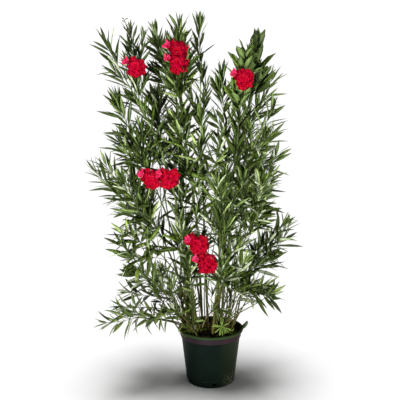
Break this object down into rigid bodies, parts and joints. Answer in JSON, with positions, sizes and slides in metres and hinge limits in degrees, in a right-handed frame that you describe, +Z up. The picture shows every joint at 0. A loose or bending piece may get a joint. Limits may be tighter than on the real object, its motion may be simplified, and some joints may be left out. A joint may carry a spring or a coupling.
{
  "type": "potted oleander",
  "caption": "Tall oleander shrub in a round nursery pot: a clump of slender canes with narrow dark leaves and double red flowers.",
  "frame": {"origin": "the middle of the pot's flat underside, where the plant stands on the floor", "axes": "+Z up along the canes, +X to the plant's right and +Y to its back, as seen from the front, where the tab on the rim is at the right"},
  "size_m": [0.9164, 0.6387, 1.642],
  "materials": {
    "pot": "satin",
    "band": "matte",
    "soil": "matte",
    "bark": "matte",
    "leaves": "matte",
    "petals": "matte"
  },
  "bodies": {
    "root": {"bough_front_low": "bark", "bough_left_behind": "bark", "bough_left_inner": "bark", "bough_left_lower": "bark", "bough_pale_sprig": "bark", "bough_right_middle_low": "bark", "bough_right_star": "bark", "bough_slim": "bark", "bough_top_middle": "bark", "cane_back_left": "bark", "cane_back_right": "bark", "cane_broad_left": "bark", "cane_broad_right": "bark", "cane_front": "bark", "cane_left_low": "bark", "cane_left_lowest": "bark", "cane_left_middle": "bark", "cane_left_upper": "bark", "cane_right_low": "bark", "cane_right_middle": "bark", "cane_right_tip": "bark", "cane_right_upper": "bark", "cane_spire": "bark", "cane_top_left": "bark", "cane_top_middle_left": "bark", "colour_band": "band", "leaves_back_left": "leaves", "leaves_back_right": "leaves", "leaves_broad_left": "leaves", "leaves_broad_right": "leaves", "leaves_centre": "leaves", "leaves_centre_left": "leaves", "leaves_centre_left_high": "leaves", "leaves_front": "leaves", "leaves_front_low": "leaves", "leaves_left_behind": "leaves", "leaves_left_inner": "leaves", "leaves_left_low": "leaves", "leaves_left_lower": "leaves", "leaves_left_lowest": "leaves", "leaves_left_middle": "leaves", "leaves_left_upper": "leaves", "leaves_low_left": "leaves", "leaves_middle_left": "leaves", "leaves_middle_right": "leaves", "leaves_pale_sprig": "leaves", "leaves_right_inner": "leaves", "leaves_right_low": "leaves", "leaves_right_middle": "leaves", "leaves_right_middle_low": "leaves", "leaves_right_star": "leaves", "leaves_right_tip": "leaves", "leaves_right_upper": "leaves", "leaves_slim": "leaves", "leaves_spire": "leaves", "leaves_top_left": "leaves", "leaves_top_middle": "leaves", "leaves_top_middle_left": "leaves", "pot": "pot", "soil": "soil"}
  },
  "joints": []
}
